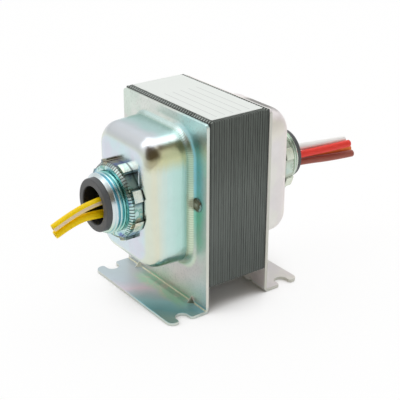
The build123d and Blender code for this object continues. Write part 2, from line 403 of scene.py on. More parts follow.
def plain_mesh(holder):
    """The evaluated mesh of an object that is then thrown away."""
    holder.update_tag()
    depsgraph = bpy.context.evaluated_depsgraph_get()
    made = bpy.data.meshes.new_from_object(holder.evaluated_get(depsgraph), depsgraph=depsgraph)
    source = holder.data
    bpy.data.objects.remove(holder)
    if isinstance(source, bpy.types.Mesh):
        bpy.data.meshes.remove(source)
    if not made.vertices:
        raise RuntimeError("a tree made no mesh")
    return made


def add_piece(name, mesh, material, nodes=()):
    """A finished piece on the body, standing for the nodes that it replaces."""
    mesh.name = name
    mesh.materials.clear()
    mesh.materials.append(material)
    piece = bpy.data.objects.new(name, mesh)
    bpy.context.collection.objects.link(piece)
    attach(piece, BODY)
    if nodes:
        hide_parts(*nodes)
    return piece


def dress(node, material):
    """A new finish on a solid that stays as it is."""
    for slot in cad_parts[node].material_slots:
        slot.material = material


def mesh_from(work, name, smooth_angle=None):
    """A mesh from an edit mesh, shaded smooth up to an angle where one is given."""
    mesh = bpy.data.meshes.new(name)
    work.to_mesh(mesh)
    work.free()
    for label in ("custom_normal", "sharp_face", "sharp_edge"):
        if label in mesh.attributes:
            mesh.attributes.remove(mesh.attributes[label])
    if smooth_angle is not None:
        mesh.shade_smooth()
        mesh.set_sharp_from_angle(angle=smooth_angle)
    return mesh


def softened_copy(node, radius):
    """A copy of a solid with its sharp edges rounded."""
    merge_distance, flat_angle, sharp_angle = 2e-6, math.radians(0.08), math.radians(32)
    work = bmesh.new()
    work.from_mesh(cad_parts[node].data)
    bmesh.ops.remove_doubles(work, verts=work.verts, dist=merge_distance)
    bmesh.ops.dissolve_limit(
        work, angle_limit=flat_angle, verts=work.verts, edges=work.edges, delimit={"NORMAL"}
    )
    holder = bpy.data.objects.new("holder", mesh_from(work, "copy", sharp_angle))
    bpy.context.collection.objects.link(holder)
    bevel = holder.modifiers.new("edges", "BEVEL")
    bevel.width = radius
    bevel.segments = 2
    bevel.limit_method = "ANGLE"
    bevel.angle_limit = sharp_angle
    bevel.harden_normals = True
    bevel.miter_outer = "MITER_ARC"
    return plain_mesh(holder)


def turned(profile, segments):
    """A ring turned about the front hub axis from (radius, distance before the middle) in millimetres."""
    work = bmesh.new()
    rings = []
    for step in range(segments):
        angle = 2 * math.pi * step / segments
        across, up = math.cos(angle) * MM, math.sin(angle) * MM
        rings.append([work.verts.new((r * across, -d * MM, HUB_AXIS + r * up)) for r, d in profile])
    count = len(profile)
    for step in range(segments):
        here, there = rings[step], rings[(step + 1) % segments]
        for place in range(count):
            after = (place + 1) % count
            work.faces.new((here[place], there[place], there[after], here[after]))
    bmesh.ops.recalc_face_normals(work, faces=work.faces)
    return work


def joined(*meshes):
    """One mesh from several."""
    work = bmesh.new()
    for mesh in meshes:
        work.from_mesh(mesh)
        bpy.data.meshes.remove(mesh)
    result = bpy.data.meshes.new("joined")
    work.to_mesh(result)
    work.free()
    return result


def other_end(mesh):
    """The same mesh at the rear of the transformer."""
    copy = mesh.copy()
    copy.transform(HALF_TURN)
    return copy


# Finishes


def bell_zinc(finish):
    """Bright zinc on drawn steel: film colours that follow the draw, draw lines, heat tint at the welds, and
    painted reflections, highlights and shade.
    """
    zinc = Finish("zinc_on_drawn_steel")
    # places are in millimetres, depth and side from the middle of the core and z from the floor
    x, y, z = zinc.axes()
    depth, side = abs(y), abs(x)
    rise = z - HUB_AXIS / MM
    cloud = zinc.sway(40)
    patch = zinc.sway(95, detail=3, roughness=0.55)
    blotch = zinc.sway(260, detail=4, roughness=0.6)
    streak = zinc.sway(1, detail=3, roughness=0.6, where=zinc.stretched((25, 700, 25)))
    speckle = zinc.sway(1300, detail=3, roughness=0.6)
    # the dome, from its root along the wall to its face
    along = depth + 1.4 * cloud + 1.2 * patch + 4.0 * streak
    dome = zinc.ramp((along - 12.5) / 20, [
        (0.18, "99c5b9"), (0.30, finish.teal), (0.55, "c5e1dc"), (0.68, "d2e1d8"), (0.78, finish.straw),
        (0.90, "dae2d3"),
    ], "LINEAR")
    face = zinc.between(depth, 30.2, 30.9)
    wall = 1 - face
    facing = zinc.mix(zinc.between(patch + 0.6 * cloud, -0.15, 0.15), "cee4e8", finish.lavender)
    top = zinc.zone((z, 58, 62), (depth, 15.5, 17.5)) * wall
    fore = zinc.between(depth + 6.0 * patch + 4.0 * cloud, 20.5, 26.0)
    edge = zinc.zone((z + 3.0 * streak, 52, 58), (z, 64, 61), (x, 13.5, 15.5)) * wall
    # painted reflection: a dark patch on the dome's upper front corner, where the zinc mirrors the dim
    # stretch of the room
    dark_reflection_outline = 0.8 * (z - 54.0) - abs(depth - 29.2) + 5.0 * blotch + 2.0 * speckle
    painted_dark_reflection = zinc.zone((dark_reflection_outline, -1, 1.6), (z, 66, 60), (x, 12, 14.5)) * wall
    # painted highlight: the upper edge of the wall tinted near white where the highlight runs along it
    painted_highlight = zinc.zone((x, 11, 13), (z, 61.8, 63), (depth, 16, 18)) * wall
    # painted shade: darker olive along the underside of the dome, darkest towards +X
    underside_shade = zinc.zone((z, 18.6, 15.6), (depth, 16, 17))
    colour = zinc.layered(
        dome,
        (face, facing),
        (0.85 * top, zinc.mix(fore, "aecdcd", "c9cdd6")),
        (0.7 * edge, "c9c282"),
        (0.5 * painted_dark_reflection, "857c6a"),
        (0.7 * painted_highlight, "eef1ee"),
        (0.7 * underside_shade, zinc.mix(zinc.between(x, 2.0, 11.0), "87a893", "6f7c6c")),
    )
    # the hollow at the root, with the ticks of the draw along it
    tick_pitch = 0.66
    hollow = zinc.zone((depth, 13.9, 14.3), (depth, 16.9, 15.9))
    beside = zinc.between(side, 15.6, 16.6)
    step = beside * z + (1 - beside) * x + 0.5 * blotch
    ticks = hollow * zinc.between(abs(step / tick_pitch % 1.0 - 0.5), 0.2, 0.45)
    # painted light: the lower turn of the hollow made paler and less metallic, against the shade there
    painted_light_low_turn = hollow * zinc.between(z, 19.5, 16.5)
    upright = zinc.mix(zinc.between(z, 52.0, 38.0), finish.green, "dbe9cf")
    colour = zinc.layered(
        colour,
        (0.85 * hollow, zinc.mix(beside, "d6e8ea", upright)),
        (0.9 * painted_light_low_turn, "d3e4d2"),
        (0.55 * ticks, "93a387"),
    )
    # the flange, by its distance from the root of the dome
    flange = zinc.between(depth, 14.5, 14.0)
    flat_x, flat_z, root_radius = 12.0, 18.8, 5.8
    reach = reach_of((side - flat_x).higher(0.0), (abs(rise) - flat_z).higher(0.0)) - root_radius
    near = zinc.zone(
        (reach + 2.0 * cloud + 2.0 * patch, 7.5, 3), (x, 4, 14), (z + 16.0 * cloud, 18, 34), (z, 67.6, 64.6),
    )
    greener = zinc.between(cloud + 0.4 * blotch, -0.04, 0.10) * zinc.between(z, 8.0, 40.0, 0.1, 1.0)
    rim = zinc.zone((reach + 0.8 * patch, 2.4, 1), (z, 24, 17), (x, 0, 8))
    # painted reflection: the flange by the dome's upper corner paler cyan, where it mirrors the dome's
    # highlight
    corner = zinc.zone((z, 60, 66), (x + 8.0 * cloud, 6, 16))
    sheet = zinc.layered(
        zinc.mix(zinc.between(patch, -0.1, 0.1), "cdcfc6", "d2c9c8"),
        (zinc.between(z, 18.0, 9.0), "f0e4dd"),
        (greener, "c0d4c6"),
        # painted light: the flange paler towards its top
        (0.7 * zinc.between(z, 50.0, 64.0), "e3ece5"),
        (0.9 * near, zinc.mix(zinc.between(z, 46.0, 36.0), "80c8d6", "7accb6")),
        (0.8 * rim, "e4f2d8"),
        (0.8 * corner, "cdeeee"),
        (0.3 * zinc.between(speckle, 0.02, 0.20), "a4a79c"),
    )
    # the foot, a painted highlight along its bend, and the darts pressed into the bend, the left one with a
    # painted highlight and the right one with painted shade
    foot = zinc.between(z, 2.9, 1.6)
    stain = x + 0.8 * (depth - 26.0) + 7.0 * cloud + 6.0 * patch + 2.0 * blotch
    spread = zinc.ramp((stain + 25.0) / 50, [
        (0.06, "bdcacf"), (0.26, "c0ccd4"), (0.40, "dacfda"), (0.54, "b9cdd4"), (0.66, "a6d6e0"),
        (0.80, "8cc4d0"), (0.94, "b4d0d0"),
    ], "LINEAR")
    greenish = zinc.zone((depth + 5.0 * patch, 21.5, 17.5), (x, -16, -7), (x, 22, 12))
    greens = zinc.mix(zinc.between(blotch, -0.06, 0.16), "a6dcba", "d8dcc4")
    bend_highlight = zinc.zone((depth, 14.3, 13.95), (z, 1, 1.15), (z, 1.9, 1.5))
    dart_light_and_shade = zinc.zone((depth, 13.85, 14.1), (abs(side - 16.8), 2.7, 2.2), (z, 1.3, 1.55), (z, 4.6, 4))
    # the rear bell took a paler film, with a darker patch on top
    rear = zinc.between(y, 0.0, 1.0)
    drift = 6.0 * blotch + 6.0 * patch
    darker_top_patch = zinc.zone(
        (z + 0.5 * drift, 60, 63.5), (depth + 0.6 * drift, 18, 23), (x + drift, -6, 0), (x + drift, 15, 8),
    )
    warm = zinc.mix(zinc.between(patch, -0.12, 0.12), "f6f1ec", "f3ebec")
    # sheared edges in pale zinc, painted lighter as a highlight, and the heat round the welds
    sheared = zinc.between(side, 24.95, 25.12).higher(zinc.between(z, 1.14, 1.0))
    burnt = zinc.zone((reach_of(side - WELD_SIDE, rise) + 2.6 * blotch, 3.3, 2.1), (depth, 16.5, 15))
    colour = zinc.layered(
        colour,
        (flange, sheet),
        (foot, zinc.mix(0.75 * greenish, spread, greens)),
        (0.85 * bend_highlight, "f3efd8"),
        (0.85 * dart_light_and_shade, zinc.mix(zinc.between(x, 16.2, 17.6), "eeeddd", "54563a")),
        (0.85 * rear, zinc.mix(0.9 * darker_top_patch, warm, "625c53")),
        ((0.15 + 0.2 * flange) * (blotch + 0.15), "8f9690"),
        (0.75 * sheared, "d6d8ce"),
        (0.5 * burnt, finish.burn),
    )
    # draw lines in the hollow, spatter at the welds, grain on the flat sheet and the stretched upper corner
    flat = flange.higher(foot)
    coarse, fine = blotch + 0.5, speckle + 0.5
    drawn = zinc.noise(1, roughness=0.6, where=zinc.stretched((1500, 70, 1500)))
    stretched = zinc.zone((z, 51, 56), (x, 10, 12.5), (depth, 17, 19))
    relief = 0.6 * drawn * (0.02 + hollow) + 0.25 * burnt * coarse + 0.2 * flat * fine
    relief = relief + stretched * (1.6 * coarse + 0.25 * fine)
    worn = 0.14 * flat + 0.14 * hollow + 0.2 * burnt + 0.3 * rear
    # the painted highlights and shade on the bend, the darts and the lower turn of the hollow are less
    # metallic
    painted_light_matte = (0.6 * bend_highlight).higher(0.8 * dart_light_and_shade).higher(0.7 * painted_light_low_turn)
    return zinc.surface({
        "Base Color": colour,
        "Metallic": (1 - painted_light_matte) * (1 - 0.4 * rear),
        "Roughness": finish.roughness + worn + 0.06 * (blotch + 0.1),
        "Normal": zinc.bump(relief, 0.35, 0.00012),
    })


def locknut_zinc(sizes):
    """Zinc on a cast locknut: pale blue-green with olive, cream and violet, with painted shade between the
    serrations, in the recess, on the flanks and behind the nut.
    """
    zinc = Finish("zinc_on_locknut")
    x, y, up, reach = zinc.hub_axes()
    depth = abs(y)
    blotch = zinc.noise(330, detail=3, roughness=0.6)
    cloud = zinc.noise(150)
    film = zinc.ramp(0.5 + 1.1 * (blotch - 0.5) + 1.3 * (cloud - 0.5), [
        (0.05, "5552a8"), (0.18, "7f9cc0"), (0.30, "a9d0d4"), (0.48, "c3dfdb"), (0.60, "7fb3ac"),
        (0.72, "dcdcc0"), (0.86, "9a9468"), (1.00, "6e6248"),
    ])
    turn = x.maths("ARCTAN2", up, x) / (2 * math.pi) * sizes.teeth
    # painted shade between the serrations of the collar
    teeth_gap_shade = zinc.between(abs(turn % 1.0 - 0.5), 0.24, 0.44)
    collar = zinc.zone((reach, 12.2, 12.4), (reach, 13.6, 13.3), (depth, 33.9, 34.3))
    brim = zinc.between(depth, 34.7, 34.3)
    # painted shade: a darker green in the upper part of the recess
    recess = brim * zinc.between(reach, 13.55, 13.3)
    # painted shade on the flanks at the brim
    flank_shade = brim * zinc.zone((reach, 13.3, 13.5), (reach, 14.25, 14.05))
    tip = zinc.zone((reach, 14.15, 14.35), (blotch, 0.3, 0.5))
    crest = brim * zinc.zone((up, 10.5, 13), (x, 5, 1))
    colour = zinc.layered(
        film,
        (0.9 * teeth_gap_shade * collar, "23241c"),
        (0.6 * recess * zinc.between(up, -1.0, 4.0), "6f8578"),
        (0.75 * flank_shade, "37443c"),
        (0.7 * tip, "e8e6d6"),
        # painted shadow on the back of the nut, where it meets the dome
        (0.7 * zinc.between(depth, 31.6, 31.1), "22302c"),
        (0.6 * crest, zinc.mix(zinc.between(cloud, 0.42, 0.58), "5654a0", "9a8672")),
        (0.35 * collar * zinc.between(up, 8.0, 11.0), "8d726a"),
        (0.6 * zinc.between(y, 0.0, 1.0), "d5dac8"),
    )
    return zinc.surface({
        "Base Color": colour,
        "Metallic": 1.0,
        "Roughness": 0.14 + 0.14 * blotch + 0.22 * recess,
        "Normal": zinc.bump(zinc.noise(3200) + 0.8 * blotch, 0.3, 0.0001),
    })


def nipple_zinc():
    """Zinc on a turned nipple: silver at its mouth, blue and teal along its thread, with painted shade in the
    thread roots.
    """
    zinc = Finish("zinc_on_nipple")
    _, y, up, reach = zinc.hub_axes()
    depth = abs(y)
    blotch = zinc.noise(260, detail=3, roughness=0.6)
    turning = zinc.noise(1, detail=3, roughness=0.7, where=zinc.stretched((60, 5200, 60)))
    film = zinc.ramp((41.0 - depth) / 6.0 + 0.5 * (blotch - 0.5) + 0.25 * (turning - 0.5), [
        (0.00, "dbe2e2"), (0.25, "d3dfe2"), (0.42, "a9cfe0"), (0.58, "c3dbd8"), (0.78, "8fcdca"),
        (1.00, "64b9a6"),
    ])
    # painted shade: a darker teal in the roots of the thread
    groove = zinc.zone((reach, 10.5, 10.05), (depth, 39.9, 39.4))
    colour = zinc.layered(
        film,
        (0.6 * zinc.between(up + 6.0 * (blotch - 0.5), -2.0, -8.0), "b6dcc0"),
        (0.6 * groove, "72bcc8"),
        (0.75 * zinc.between(y, 0.0, 1.0), "d2d6c3"),
    )
    return zinc.surface({
        "Base Color": colour,
        "Metallic": 1.0,
        "Roughness": 0.17 + 0.10 * blotch + 0.08 * (turning - 0.5),
        "Normal": zinc.bump(turning, 0.2, 0.00006),
    })


def weld_metal():
    """Burnt plug weld with a rippled crown."""
    weld = Finish("burnt_weld")
    x, _, z = weld.axes()
    ripple = weld.noise(900, detail=4, roughness=0.6)
    edge = reach_of(abs(x) - WELD_SIDE, z - HUB_AXIS / MM) + 2.4 * weld.sway(420, detail=3)
    colour = weld.ramp(edge / 3.0 + 0.7 * (ripple - 0.5), [
        (0.0, "c2c2b4"), (0.25, "a8a596"), (0.5, "7c7866"), (0.7, "686452"), (0.82, "8aa29c"),
        (1.0, "7fb0b0"),
    ])
    return weld.surface({
        "Base Color": colour,
        "Metallic": 0.8,
        "Roughness": 0.38 + 0.3 * ripple,
        "Normal": weld.bump(ripple, 0.8, 0.0003),
    })


def core_steel(sizes):
    """Varnished edges of electrical steel, a dark line at every second joint, each sheet its own grey, and
    painted shade on the end sheets by the bells.
    """
    steel = Finish("varnished_sheet_edges")
    x, y, z = steel.axes()
    half_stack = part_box("core_e_laminations")[1].y / MM
    pitch = 2 * half_stack / sizes.sheets
    each = steel.own_value((y + half_stack) // pitch)
    joint = steel.between(abs((y + half_stack) % (2 * pitch) - pitch), 0.26, 0.42)
    along = steel.noise(1, detail=4, roughness=0.6, where=steel.stretched((260, 1400, 260)))
    # painted shade on the end sheets of the stack, beside the bells
    end = steel.between(abs(y), 11.7, 12.3)
    light = 0.66 + 0.16 * (each - 0.5) + 0.3 * (along - 0.5) + 0.3 * steel.sway(60, detail=3)
    margin = steel.zone((z, 69.7, 69.9), (abs(y), 10.6, 11))
    hatch_pitch, hatch_slant = 1.3, 0.74
    hatch = steel.between(abs((x + hatch_slant * y) / hatch_pitch % 1.0 - 0.5), 0.32, 0.2)
    colour = steel.mix(light - 0.45 * joint - 0.6 * end, sizes.dark, sizes.light)
    return steel.surface({
        "Base Color": steel.mix(0.8 * margin, colour, steel.mix(hatch, "1c1e1c", "a7afaa")),
        "Metallic": 0.25,
        "Roughness": 0.45 + 0.2 * along,
        "Normal": steel.bump(along, 0.25, 0.0001),
    })


def scaled(colour, share):
    """A colour made darker or lighter."""
    return tuple(share * part for part in colour)


def lead_plastic(name, colour, stripe=None):
    """Insulation with a soft gloss, and a stripe along its own length where it has one."""
    plastic = Finish(name)
    cloud = plastic.noise(240)
    grain = plastic.noise(2400)
    shade = plastic.mix(0.3 * cloud, colour, scaled(colour, 0.78))
    if stripe is not None:
        around, _, _ = plastic.split(plastic.node("ShaderNodeTexCoord", out="UV"))
        edge = abs(around - 0.5) + 0.012 * plastic.sway(900)
        shade = plastic.mix(plastic.between(edge, 0.088, 0.073), shade, stripe)
    return plastic.surface({
        "Base Color": shade,
        "Roughness": 0.34 + 0.14 * grain,
        "Specular IOR Level": 0.22,
        "Normal": plastic.bump(0.8 * cloud + 0.15 * grain, 0.15, 0.00015),
    })


def copper_strands(colour):
    """Cut copper with a little tarnish."""
    copper = Finish("cut_copper")
    tarnish = copper.noise(1500)
    return copper.surface({
        "Base Color": copper.mix(0.6 * tarnish, colour, scaled(colour, 0.55)),
        "Metallic": 1.0,
        "Roughness": 0.28 + 0.25 * tarnish,
    })


def bushing_plastic(colour):
    """Dark moulded plastic with a faint grain, and painted shade that makes its bore almost black."""
    plastic = Finish("moulded_bushing")
    reach = plastic.hub_axes()[-1]
    cloud = plastic.noise(160, detail=3)
    shade = plastic.mix(0.5 * cloud, colour, scaled(colour, 1.35))
    return plastic.surface({
        # painted shade: the bore almost black
        "Base Color": plastic.mix(plastic.between(reach, 7.1, 6.65), shade, "161616"),
        "Roughness": 0.40 + 0.18 * cloud,
        "Normal": plastic.bump(plastic.noise(3000), 0.3, 0.00006),
    })


def label_paper(finish):
    """White label stock with a few pale ruled rows."""
    paper = Finish("bare_label")
    x, y, _ = paper.axes()
    fibre = paper.noise(1400, detail=3)
    cloud = paper.noise(60)
    row_pitch = 3.4
    row = abs((y + 8.6) % row_pitch - row_pitch / 2)
    ruled = paper.zone((row, 0.16, 0.08), (abs(x - 6.2), 15.2, 15), (abs(y - 0.4), 8.6, 8.4))
    return paper.surface({
        "Base Color": paper.layered(finish.paper, (0.35 * cloud, "dee3e0"), (0.55 * ruled, finish.rule)),
        "Roughness": 0.42 + 0.12 * fibre,
        "Normal": paper.bump(0.6 * fibre + cloud, 0.15, 0.0001),
    })


def bobbin_nylon():
    """Natural nylon of the spool."""
    nylon = Finish("spool_nylon")
    cloud = nylon.noise(120, detail=3)
    return nylon.surface({
        "Base Color": nylon.mix(cloud, "e6dfcb", "d2c8ae"),
        "Roughness": 0.42 + 0.15 * cloud,
        "Normal": nylon.bump(nylon.noise(2500), 0.2, 0.00008),
    })


def winding_copper():
    """Enamelled wire, its turns side by side along the middle leg, with painted shade between them."""
    wire = Finish("enamelled_turns")
    wire_pitch = 0.35
    turns = wire.axes()[0] / wire_pitch
    across = abs(turns % 1.0 - 0.5)
    each = wire.own_value(turns // 1.0)
    shade = wire.mix(each, "a4532a", "c4713d")
    return wire.surface({
        # painted shade in the creases between the turns
        "Base Color": wire.mix(wire.between(across, 0.30, 0.5), shade, "5a2a16"),
        "Metallic": 0.8,
        "Roughness": 0.28 + 0.15 * each,
        "Normal": wire.bump(1 - across * across * 4, 0.9, 0.00015),
    })


def winding_wrap():
    """Yellow film tape, lapped round the windings."""
    tape = Finish("film_tape")
    tape_width = 4.6
    lap = tape.between(tape.axes()[0] / tape_width % 1.0, 0.0, 0.05)
    cloud = tape.noise(200, detail=3)
    shade = tape.mix(cloud, "d9b54a", "e7ca6c")
    return tape.surface({
        "Base Color": tape.mix(0.4 - 0.4 * lap, shade, "9c7a26"),
        "Roughness": 0.25 + 0.15 * cloud,
        "Coat Weight": 0.3 * cloud,
        "Normal": tape.bump(lap + 0.3 * cloud, 0.4, 0.0001),
    })


# Trees


def sheet_stack():
    """Copies of one sheet in a row along Y, each standing back a little by chance."""
    growth = Growth("sheet_stack", {
        "Count": "Int", "Pitch": "Float", "Shift": "Float", "Seed": "Int", "Material": "Material",
    })
    pitch = growth.given("Pitch")
    count = growth.given("Count")
    first = growth.node("ShaderNodeCombineXYZ", None, {"Y": -0.5 * pitch * (count - 1)})
    step = growth.node("ShaderNodeCombineXYZ", None, {"Y": pitch})
    settings = {"mode": "OFFSET", "count_mode": "TOTAL"}
    row = growth.node("GeometryNodeMeshLine", settings, {
        "Count": count, "Start Location": first, "Offset": step,
    })
    shift = growth.given("Shift")
    low = growth.node("ShaderNodeCombineXYZ", None, {"X": -1.0 * shift, "Z": -1.0 * shift})
    high = growth.node("ShaderNodeCombineXYZ", None, {"X": shift, "Z": shift})
    chance = growth.node("FunctionNodeRandomValue", {"data_type": "FLOAT_VECTOR"}, {
        "Min": low, "Max": high, "Seed": growth.given("Seed"),
    })
    uneven = growth.node("GeometryNodeSetPosition", None, {"Geometry": row, "Offset": chance})
    stacked = growth.node("GeometryNodeInstanceOnPoints", None, {
        "Points": uneven, "Instance": growth.start,
    })
    return growth.ends_in(stacked)


def ring_of_pieces():
    """Copies of one piece turned round the hub axis in equal steps."""
    growth = Growth("ring_of_pieces", {"Count": "Int", "Axis height": "Float", "Material": "Material"})
    count = growth.given("Count")
    middle = growth.node("ShaderNodeCombineXYZ", None, {"Z": growth.given("Axis height")})
    settings = {"mode": "OFFSET", "count_mode": "TOTAL"}
    spots = growth.node("GeometryNodeMeshLine", settings, {
        "Count": count, "Start Location": middle, "Offset": (0, 0, 0),
    })
    angle = growth.node("GeometryNodeInputIndex") * (2 * math.pi) / count
    rotation = growth.node("ShaderNodeCombineXYZ", None, {"Y": angle})
    ring = growth.node("GeometryNodeInstanceOnPoints", None, {
        "Points": spots, "Instance": growth.start, "Rotation": rotation,
    })
    return growth.ends_in(ring)


def cut_thread():
    """A right-hand thread cut into the barrel of a turned sleeve on the front hub axis."""
    growth = Growth("cut_thread", {
        "Pitch": "Float", "Depth": "Float", "Barrel": "Float", "From": "Float", "To": "Float",
        "Axis height": "Float", "Material": "Material",
    })
    x, y, z = growth.split(growth.node("GeometryNodeInputPosition"))
    height = growth.given("Axis height")
    first, last, barrel = (growth.given(label) for label in ("From", "To", "Barrel"))
    up = z - height
    radius = reach_of(x, up)
    angle = x.maths("ARCTAN2", up, x)
    ahead = 0.0 - y
    phase = (ahead / growth.given("Pitch") - angle / (2 * math.pi)) % 1.0
    crest, root = 0.22, 0.92
    rising, falling = 0.6 * MM, 0.8 * MM
    groove = growth.between(1.0 - abs(2.0 * phase - 1.0), crest, root)
    lead_in = growth.between(ahead, first, first + rising)
    run_out = growth.between(ahead, last, last - falling)
    outside = growth.between(radius, barrel - 0.2 * MM, barrel - 0.1 * MM)
    cut = growth.given("Depth") * groove * lead_in * run_out * outside
    share = (radius - cut) / radius
    place = growth.node("ShaderNodeCombineXYZ", None, {"X": x * share, "Y": y, "Z": height + up * share})
    threaded = growth.node("GeometryNodeSetPosition", None, {"Geometry": growth.start, "Position": place})
    return growth.ends_in(threaded)


def strand_bundle():
    """Cut strands side by side: one in the middle, six round it and twelve outside."""
    growth = Growth("strand_bundle", {"Strand": "Float", "Length": "Float", "Material": "Material"})
    strand = growth.given("Strand")
    rings = growth.node("GeometryNodeJoinGeometry")
    # strands in a ring, and its radius in radii of a strand
    for count, spread in ((6, 2.06), (12, 4.05)):
        ring = growth.node("GeometryNodeMeshCircle", None, {"Vertices": count, "Radius": spread * strand})
        growth.tree.links.new(ring.socket, rings.socket.node.inputs[0])
    middle = growth.node("GeometryNodeMeshLine", None, {"Count": 1})
    growth.tree.links.new(middle.socket, rings.socket.node.inputs[0])
    rod = growth.node("GeometryNodeMeshCylinder", None, {
        "Vertices": 10, "Radius": strand, "Depth": growth.given("Length"),
    })
    aside, short = 0.02 * MM, 0.12 * MM
    chance = growth.node("FunctionNodeRandomValue", {"data_type": "FLOAT_VECTOR"}, {
        "Min": (-aside, -aside, -short), "Max": (aside, aside, 0.0), "Seed": 3,
    })
    uneven = growth.node("GeometryNodeSetPosition", None, {"Geometry": rings, "Offset": chance})
    bundle = growth.node("GeometryNodeInstanceOnPoints", None, {"Points": uneven, "Instance": rod})
    return growth.ends_in(bundle)


# Leads


def route_line(points):
    """Points along the smooth line that a route controls."""
    curve = bpy.data.curves.new("route", "CURVE")
    curve.dimensions = "3D"
    curve.resolution_u = 14
    spline = curve.splines.new("NURBS")
    spline.points.add(len(points) - 1)
    for point, place in zip(spline.points, points):
        point.co = (*place, 1)
    spline.order_u = 3
    spline.use_endpoint_u = True
    holder = bpy.data.objects.new("route", curve)
    bpy.context.collection.objects.link(holder)
    line = plain_mesh(holder)
    places = [vertex.co.copy() for vertex in line.vertices]
    bpy.data.meshes.remove(line)
    bpy.data.curves.remove(curve)
    return places


def sections_along(line, start_across):
    """A frame at each point of a line, turned as little as the line allows."""
    frames = []
    across = start_across
    for number, place in enumerate(line):
        before = line[max(number - 1, 0)]
        after = line[min(number + 1, len(line) - 1)]
        ahead = (after - before).normalized()
        across = (across - ahead * across.dot(ahead)).normalized()
        frames.append((place, ahead, across, ahead.cross(across)))
    return frames


def lead_tube(line, radius, hollow, start_across):
    """Insulation along a line, closed at the coil and open round the strands at its cut end."""
    sides, lip, recess = 28, 0.12 * MM, 1.2 * MM
    work = bmesh.new()
    uv = work.loops.layers.uv.new("around_and_along")
    frames = sections_along(line, start_across)
    place, ahead, across, up = frames[-1]
    rings = [(*each, radius) for each in frames[:-1]]
    # how far back from the cut end each ring stands, and its radius
    cut_rings = (
        (lip, radius), (0.3 * lip, radius - 0.35 * lip), (0.0, radius - lip), (0.0, hollow), (recess, hollow),
    )
    rings += [(place - ahead * back, ahead, across, up, size) for back, size in cut_rings]
    made = []
    travelled = 0.0
    for number, (middle, _, side, rise, size) in enumerate(rings):
        if number:
            travelled += (middle - rings[number - 1][0]).length
        ring = []
        for step in range(sides):
            angle = 2 * math.pi * step / sides
            ring.append(work.verts.new(middle + (side * math.cos(angle) + rise * math.sin(angle)) * size))
        made.append((ring, travelled))
    for (here, near), (there, far) in zip(made, made[1:]):
        for step in range(sides):
            after = (step + 1) % sides
            face = work.faces.new((here[step], here[after], there[after], there[step]))
            spans = ((step, near), (step + 1, near), (step + 1, far), (step, far))
            for loop, (turn, reach) in zip(face.loops, spans):
                loop[uv].uv = (turn / sides, reach * 100)
    work.faces.new(tuple(reversed(made[0][0])))
    work.faces.new(tuple(made[-1][0]))
    bmesh.ops.recalc_face_normals(work, faces=work.faces)
    return mesh_from(work, "tube", smooth_angle=math.radians(50))


class TRANSFORMER_OT_leads(bpy.types.Operator):
    """Makes the six leads with their cut copper ends"""

    bl_idname = "transformer.leads"
    bl_label = "Leads"

    def execute(self, context):
        finish = context.scene.transformer_leads
        colours = {
            "lead_yellow_striped": finish.yellow, "lead_yellow": finish.yellow, "lead_white": finish.white,
            "lead_red": finish.red, "lead_orange": finish.orange, "lead_brown": finish.brown,
        }
        copper = copper_strands(finish.copper)
        bundle = strand_bundle()
        radius = finish.diameter / 2
        hollow = finish.conductor / 2
        bundle_radius = 5.25  # in radii of a strand
        length = 1.3 * MM
        sunk = 0.1 * MM
        # where the tube's UV map is cut: the stripe runs along the other side
        seam_side = Vector((-0.99, 0, 0.1))
        for name, route in LEAD_ROUTES.items():
            line = route_line(route)
            stripe = finish.stripe if name.endswith("striped") else None
            plastic = lead_plastic(name + "_insulation", colours[name], stripe)
            tube = lead_tube(line, radius, hollow, seam_side)
            lead = add_piece(name + "_insulation", tube, plastic, [name])
            strands = bundle.grow(bpy.data.meshes.new("none"), {
                "Strand": hollow / bundle_radius, "Length": length, "Material": copper,
            })
            ahead = (line[-1] - line[-2]).normalized()
            turn = ahead.to_track_quat("Z", "Y").to_matrix().to_4x4()
            strands.transform(Matrix.Translation(line[-1] - ahead * (length / 2 + sunk)) @ turn)
            ends = add_piece(name + "_strands", strands, copper)
        return {"FINISHED"}


# Bells and core


class TRANSFORMER_OT_bells(bpy.types.Operator):
    """Finishes the two drawn end bells and their plug welds"""

    bl_idname = "transformer.bells"
    bl_label = "End bells"

    def execute(self, context):
        finish = context.scene.transformer_bells
        zinc = bell_zinc(finish)
        weld = weld_metal()
        for end in ("front", "rear"):
            mesh = softened_copy(end + "_end_bell", finish.edge_round)
            add_piece(end + "_bell_pressing", mesh, zinc, [end + "_end_bell"])
            dress(end + "_weld_nuggets", weld)
        return {"FINISHED"}


def cut_sheet(corners, thickness, ease):
    """One sheet of the core from the corners of its outline, with the rim eased on both faces."""
    work = bmesh.new()
    levels = []
    half = thickness / 2
    for depth, inset in ((-half, ease), (ease - half, 0), (half - ease, 0), (half, ease)):
        ring = []
        count = len(corners)
        for number, corner in enumerate(corners):
            before = Vector(corners[number - 1])
            here = Vector(corner)
            after = Vector(corners[(number + 1) % count])
            first = (here - before).normalized()
            second = (after - here).normalized()
            inward = Vector((-first.y, first.x)) + Vector((-second.y, second.x))
            spot = here + inward * inset
            ring.append(work.verts.new((spot.x, depth, spot.y)))
        levels.append(ring)
    for low, high in zip(levels, levels[1:]):
        for number in range(len(corners)):
            after = (number + 1) % len(corners)
            work.faces.new((low[number], low[after], high[after], high[number]))
    work.faces.new(tuple(reversed(levels[0])))
    work.faces.new(tuple(levels[-1]))
    bmesh.ops.recalc_face_normals(work, faces=work.faces)
    return mesh_from(work, "sheet")


